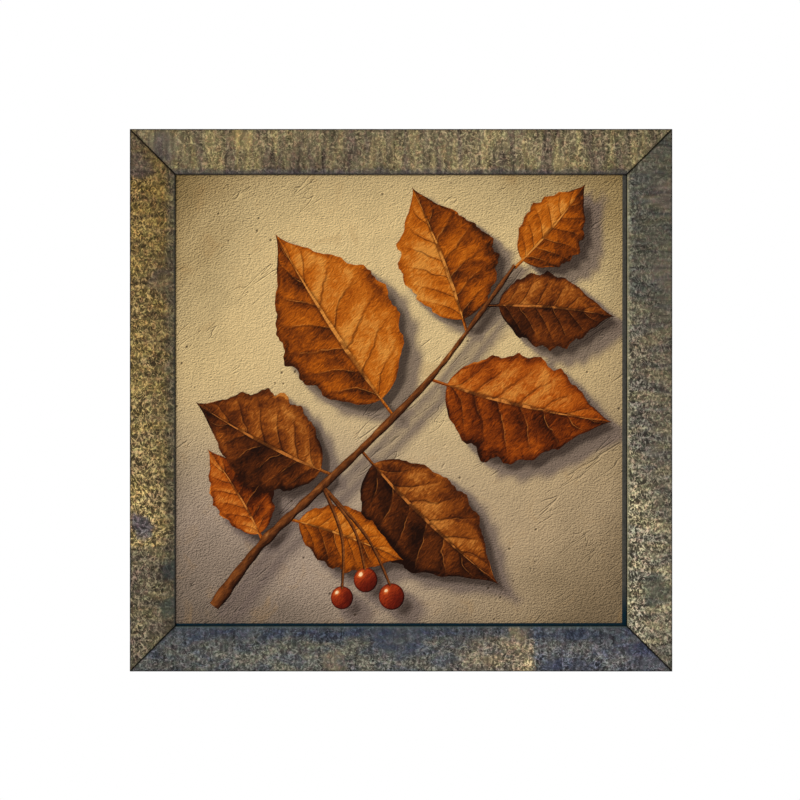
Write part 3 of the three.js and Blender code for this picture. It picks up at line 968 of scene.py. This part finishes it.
def leafPaint(name, look, veined):
    material = newMaterial(name + "Paint")
    uv = meshCoords(material)
    coords = objectCoords(material)
    hairs, daubs = brushHeight(coords)
    blots = grain(coords, 36, 4.0, 1.2, 0.6)
    rough = 1.0 if veined else 0.45
    shade = total(painted(material, "shade"), sway(daubs, 0.6 * rough), sway(hairs, 0.45 * rough),
                  sway(blots, 0.9 * rough))
    colour = ramp(shade, look["stops"])
    dark = look["stops"][0][1]
    if veined:
        s, v = axesOf(uv)[:2]
        out = calc("ABSOLUTE", v)
        broken = fade(grain(coords, 75, 3.0, 0.6), 0.44, 0.56, 0.12, 1.0)
        waver = sway(grain(coords, 60, 2.0), 0.07)
        back = times(calc("POWER", out, 0.85), sprig["sweep"])
        phase = times(total(minus(s, back), waver), sprig["veins"])
        side = times(fade(calc("PINGPONG", phase, 0.5), 0.03, 0.0, 0, 0.6), broken)
        side = times(side, fade(out, 0.95, 0.3))
        # painted shade in the crease just below each side vein
        below = calc("PINGPONG", total(phase, 0.07), 0.5)
        creaseShade = times(fade(below, 0.09, 0.0, 0, 0.6), fade(out, 1.0, 0.3))
        colour = blend(creaseShade, colour, dark)
        colour = blend(side, colour, look["vein"])
        # painted shade along the groove of the midrib, with a light rib line drawn on it
        rib = calc("ABSOLUTE", total(v, times(waver, 0.5)))
        colour = glaze(rib, 0.09, 0.02, 0.6, colour, dark)
        ribWidth = fade(s, 0.0, 1.0, 0.04, 0.014)
        ribLine = times(calc("LESS_THAN", rib, ribWidth), broken)
        colour = blend(ribLine, colour, look["vein"])
    # painted light and shade on the brush relief, from its height a step towards the light, as on the ground
    hairsToLight, daubsToLight = brushHeight(moved(coords, groundForm["sideLight"]))
    tone = times(minus(hairs, hairsToLight), 0.9)
    tone = total(1.0, tone, times(minus(daubs, daubsToLight), 1.5))
    colour = scaled(colour, calc("MAXIMUM", tone, 0.4))
    relief = total(daubs, times(hairs, 0.5))
    return surface(material, colour, 0.6, relief, 0.3, Specular_IOR_Level=0.03)


leafPaints = {name: leafPaint(name, look, name not in ("twig", "berry")) for name, look in leafLooks.items()}


def makeLeaf(number, leaf):
    along, across = leafAxes(leaf)
    columns, rows = int(leaf["length"] * 1.2), 48
    tilt = random.Random(100 + number).uniform(0.14, 0.24)

    def place(u, w):
        s, v = lengthwise(u, w)
        upper = 3.0 if v > 0 else 7.0
        width = float(leafWidth(leaf, np.array(s))) * (sprig["narrow"] if v > 0 else 1.0)
        rag = 0.07 * lump(s * 11, upper, number)
        rag += 0.05 * lump(s * 38, upper, number)
        off = leaf["bend"] * leaf["length"] * s * s + v * width * (1 + rag * abs(v) ** 3)
        x, z = np.array(leaf["base"]) + along * (leaf["length"] * s) + across * off
        puff = abs(math.sin(math.pi * (s - sprig["sweep"] * abs(v) ** 0.85) * sprig["veins"])) ** 0.7
        shape = 0.3 * (1 - abs(v) ** 6) + 0.5 * puff * (1 - v * v) - 0.25 * bell(v, 0.07)
        shape += 0.2 * lump(x / 9, z / 9, number)
        high = sprig["lowest"] + sprig["layerStep"] * (leaf["layer"] - 1) + sprig["puff"] * max(0.0, shape)
        return Vector((x * mm, paintY - high * mm, z * mm))

    bm = mappedGrid(columns, rows, place, lengthwise)
    shadeLayer = bm.verts.layers.float.new("shade")
    uvLayer = bm.loops.layers.uv.active
    x, z = flatPlaces(bm)
    # painted shadow cast by the leaves that lie above this one
    covered = np.zeros(len(x))
    for other in leaves:
        if other["layer"] > leaf["layer"]:
            covered = np.maximum(covered, 1 - smoothStep(beyondLeaf(other, x - 7, z + 6), -3, 8))
    lit = 1 if across[0] * -0.6 + across[1] * 0.8 > 0 else -1
    laid = {loop.vert: loop[uvLayer].uv.copy() for face in bm.faces for loop in face.loops}
    for i, vert in enumerate(bm.verts):
        s, v = laid[vert]
        slope = math.cos(math.pi * ((s - sprig["sweep"] * abs(v) ** 0.85) * sprig["veins"] % 1.0))
        facing = lit if v > 0 else -lit
        shade = 0.52 + tilt * facing * (1 - abs(v) * 0.3) + 0.11 * slope * (1 - abs(v) ** 4)
        shade += 0.34 * lump(x[i] / 28, z[i] / 28, number * 3)
        shade -= 0.3 * smoothOne(abs(v), 0.78, 1.0) + 0.2 * smoothOne(s, 0.78, 1.0)
        # painted highlight on stretches of the curled margin, stronger on the half facing the light
        curlHighlight = max(0.0, lump(s * 7, 9.0 if v > 0 else 4.0, number))
        shade += 1.5 * curlHighlight * smoothOne(abs(v), 0.9, 0.98) * (1 if facing > 0 else 0.5)
        vert[shadeLayer] = shade - 0.5 * covered[i]
    closeBack(bm, paintY + sprig["lowest"] * mm)
    paintedPiece(f"leaf_{number}", bm, leafPaints[leaf["look"]], 75)


for number, leaf in enumerate(leaves, 1):
    makeLeaf(number, leaf)
print("leaves done")


def routePoint(route, t):
    # a smooth curve through the route's points
    at = t * (len(route) - 1)
    i = min(int(at), len(route) - 2)
    f = at - i
    p = [np.array(route[min(max(k, 0), len(route) - 1)], float) for k in (i - 1, i, i + 1, i + 2)]
    return 0.5 * (2 * p[1] + (p[2] - p[0]) * f + (2 * p[0] - 5 * p[1] + 4 * p[2] - p[3]) * f * f
                  + (3 * p[1] - p[0] - 3 * p[2] + p[3]) * f ** 3)


def makeTwig(name, route, radii, lift, columns, knots):
    def place(u, w):
        t = (u + 1) / 2
        spot = routePoint(route, t)
        ahead = routePoint(route, min(t + 0.01, 1)) - routePoint(route, max(t - 0.01, 0))
        ahead = ahead / np.hypot(*ahead)
        radius = radii[0] + (radii[1] - radii[0]) * t
        radius *= 1 + knots * lump(t * 30, 2.5, len(route))
        x = spot[0] - ahead[1] * w * radius
        z = spot[1] + ahead[0] * w * radius
        high = lift + 0.25 * radius * math.sqrt(max(0.0, 1 - w * w))
        return Vector((x * mm, paintY - high * mm, z * mm))

    bm = mappedGrid(columns, 12, place, lengthwise)
    shadeLayer = bm.verts.layers.float.new("shade")
    uvLayer = bm.loops.layers.uv.active
    for face in bm.faces:
        for loop in face.loops:
            t, w = loop[uvLayer].uv
            bark = 0.2 * lump(t * 60, w * 2, 3)
            loop.vert[shadeLayer] = 0.45 + 0.32 * w + bark - 0.3 * abs(w) ** 3
    closeBack(bm, paintY + sprig["lowest"] * mm)
    paintedPiece(name, bm, leafPaints["twig"], 75)


makeTwig("branch", sprig["branch"], sprig["branchRadius"], lift=0.85, columns=260, knots=0.35)
for number, berry in enumerate(berries, 1):
    (fx, fz), (px, pz) = sprig["berryRoot"], berry["place"]
    route = [(fx, fz), ((fx + px) / 2 + 8, (fz + pz) / 2 + 4), (px, pz + berry["radius"] * 0.6)]
    makeTwig(f"berry_stalk_{number}", route, (1.6, 1.0), lift=1.0, columns=60, knots=0.2)


def makeBerry(number, berry):
    bm = bmesh.new()
    bmesh.ops.create_uvsphere(bm, u_segments=40, v_segments=24, radius=berry["radius"] * mm)
    shadeLayer = bm.verts.layers.float.new("shade")
    for vert in bm.verts:
        out = vert.co.normalized()
        glint = bell((out - Vector((-0.42, -0.78, 0.46))).length, 0.26)
        shade = 0.42 + 0.3 * (out.z * 0.7 - out.x * 0.6) + 0.55 * glint
        vert[shadeLayer] = shade - 0.25 * smoothOne(math.hypot(out.x, out.z), 0.85, 1.0)
    bmesh.ops.scale(bm, vec=sprig["berryScale"], verts=bm.verts)
    for vert in bm.verts:
        vert.co.y = min(vert.co.y, sprig["berryDepth"] * mm)
    px, pz = berry["place"]
    bmesh.ops.translate(bm, vec=(px * mm, paintY - 0.4 * mm, pz * mm), verts=bm.verts)
    paintedPiece(f"berry_{number}", bm, leafPaints["berry"], 40)


for number, berry in enumerate(berries, 1):
    makeBerry(number, berry)
print("sprig done")

# the back: bars, keys and fittings keep their CAD form and get eased edges
fittingLooks = {
    "zinc": {"colour": tint(176, 180, 184), "stain": tint(122, 124, 126), "roughness": 0.34},
    "brass": {"colour": tint(206, 168, 92), "stain": tint(132, 98, 46), "roughness": 0.3},
    "blued": {"colour": tint(96, 98, 104), "stain": tint(54, 52, 52), "roughness": 0.42},
}


def metal(name, look):
    material = newMaterial(name + "Metal")
    coords = objectCoords(material)
    drawn = grain(stretch(coords, (0.15, 1, 1)), 1600, 2.0)
    cloud = grain(coords, 160, 4.0, 0.6)
    colour = glaze(cloud, 0.45, 0.72, 0.7, look["colour"], look["stain"])
    rough = total(look["roughness"], sway(drawn, 0.25))
    return surface(material, colour, rough, drawn, 0.05, Metallic=1.0)


def rubberFinish():
    material = newMaterial("bumperRubber")
    coords = objectCoords(material)
    speck = grain(coords, 1400, 2.0)
    dust = grain(coords, 130, 3.0)
    colour = glaze(dust, 0.5, 0.8, 0.5, tint(38, 37, 36), tint(88, 84, 78))
    return surface(material, colour, 0.78, speck, 0.08)


metals = {name: metal(name, look) for name, look in fittingLooks.items()}
rubber = rubberFinish()


def easedCopy(node, width, material, segments=2):
    sharp = math.radians(25)
    bm = bmesh.new()
    bm.from_mesh(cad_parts[node].data)
    bmesh.ops.remove_doubles(bm, verts=bm.verts, dist=2e-6)
    bmesh.ops.dissolve_limit(bm, angle_limit=math.radians(1), verts=bm.verts, edges=bm.edges)
    hard = [edge for edge in bm.edges if edge.is_manifold and edge.calc_face_angle(0) > sharp]
    bmesh.ops.bevel(bm, geom=hard, offset=width * mm, segments=segments, profile=0.5, affect="EDGES",
                    material=-1, clamp_overlap=True)
    newPiece(node + "_eased", bm, [material], [node], sharpAngle=30)


for side in sideNames:
    easedCopy("stretcher_bar_" + side, 0.5, pine[lie[side]])
    for i in (1, 2):
        easedCopy(f"corner_key_{side}_{i}", 0.35, beech[lie[side]])
    for where in ("outer", "inner"):
        easedCopy(f"v_nail_{side}_{where}", 0.08, metals["blued"])
    for i in range(1, 5):
        easedCopy(f"staple_{side}_{i}", 0.16, metals["zinc"])
    if lie[side] == "upright":
        for i in (1, 2):
            easedCopy(f"retaining_clip_{side}_{i}", 0.2, metals["zinc"])
            easedCopy(f"clip_screw_{side}_{i}", 0.25, metals["brass"])
easedCopy("sawtooth_hanger", 0.15, metals["brass"])
for side in ("left", "right"):
    easedCopy("hanger_pin_" + side, 0.3, metals["brass"], 3)
    easedCopy("wall_bumper_" + side, 0.3, rubber, 3)
print("back done")
